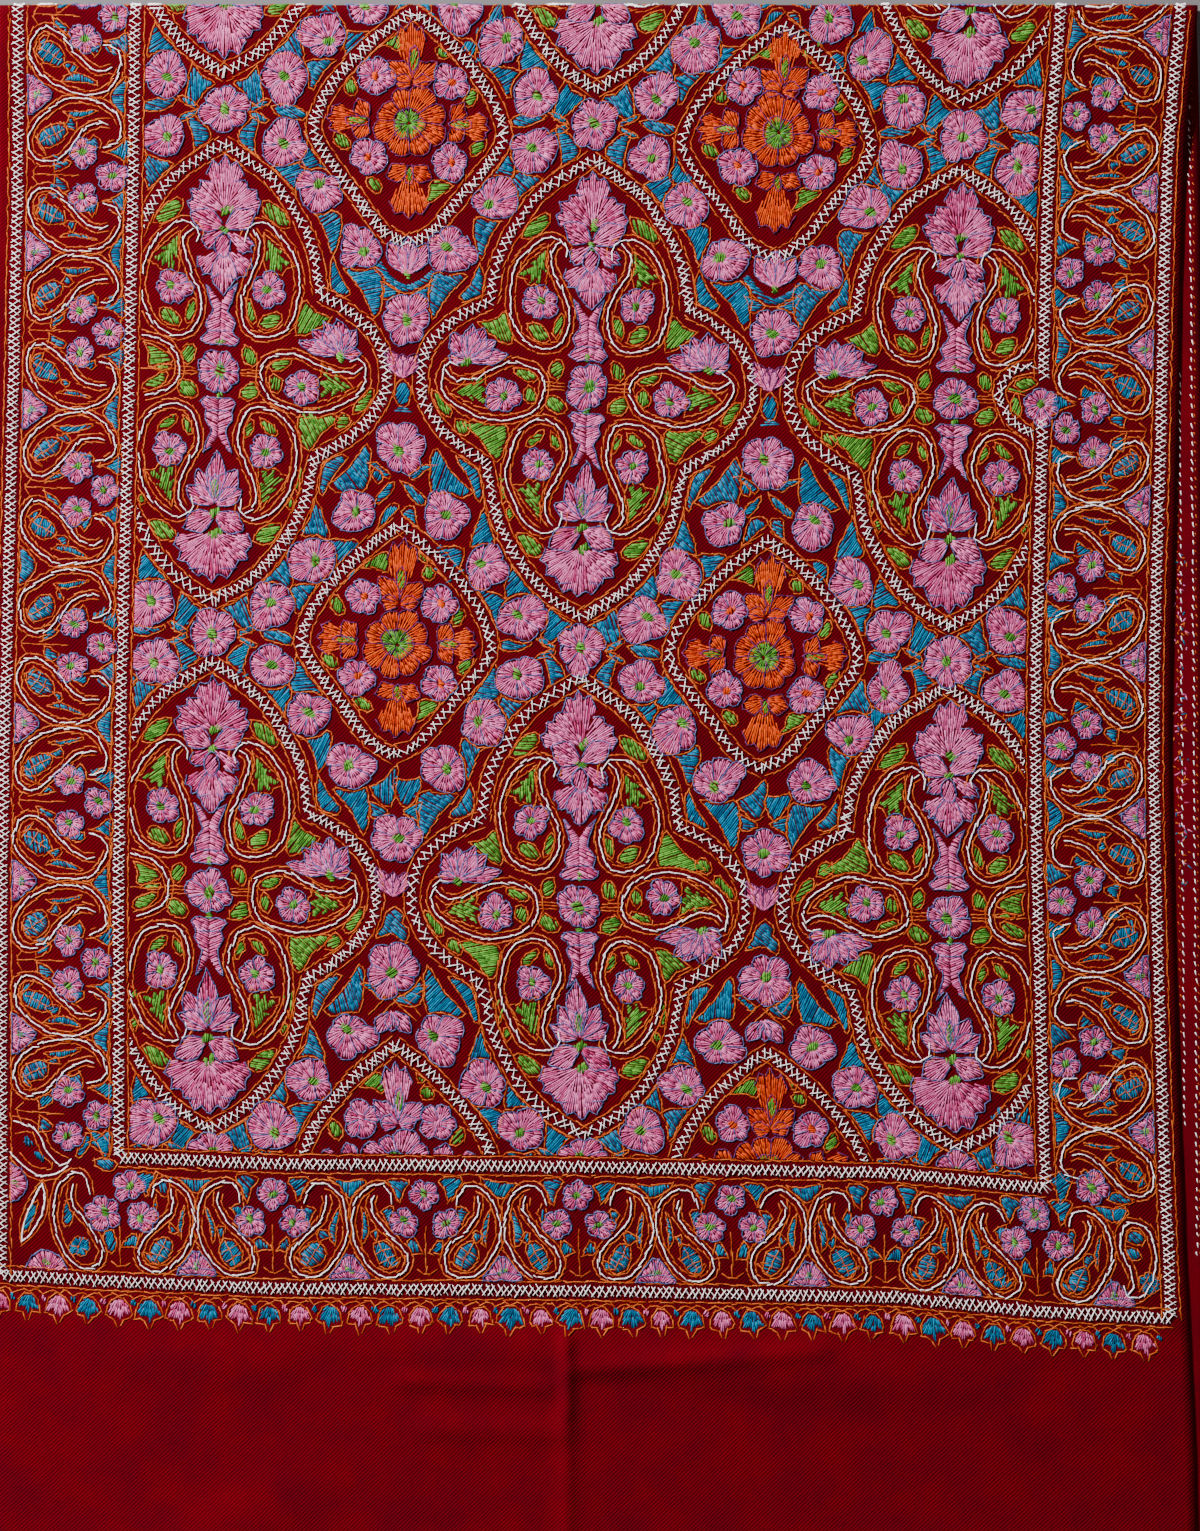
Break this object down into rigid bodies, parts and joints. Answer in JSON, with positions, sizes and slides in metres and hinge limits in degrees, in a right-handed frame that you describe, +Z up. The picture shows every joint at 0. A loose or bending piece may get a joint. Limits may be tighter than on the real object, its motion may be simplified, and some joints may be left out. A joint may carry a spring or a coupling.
{
  "type": "embroidered wool stole, folded flat",
  "caption": "Long wool stole with an embroidered paisley and medallion field, folded in half across its length and lying flat.",
  "frame": {"origin": "on the table, under the middle of the folded stole's outline", "axes": "+X across the cloth, to the right as seen with the fold at the top; +Y towards the fold; +Z up from the table"},
  "size_m": [0.741, 1.0354, 0.0119],
  "materials": {
    "wool": "deep red wool with a short soft nap",
    "orange_thread": "lightly lustrous embroidery thread",
    "pink_thread": "lightly lustrous embroidery thread",
    "blue_thread": "lightly lustrous embroidery thread",
    "green_thread": "lightly lustrous embroidery thread",
    "white_thread": "lightly lustrous embroidery thread",
    "violet_thread": "lightly lustrous embroidery thread"
  },
  "bodies": {
    "root": {"upper_layer": "wool", "fold_roll": "wool", "lower_layer": "wool"}
  },
  "joints": []
}
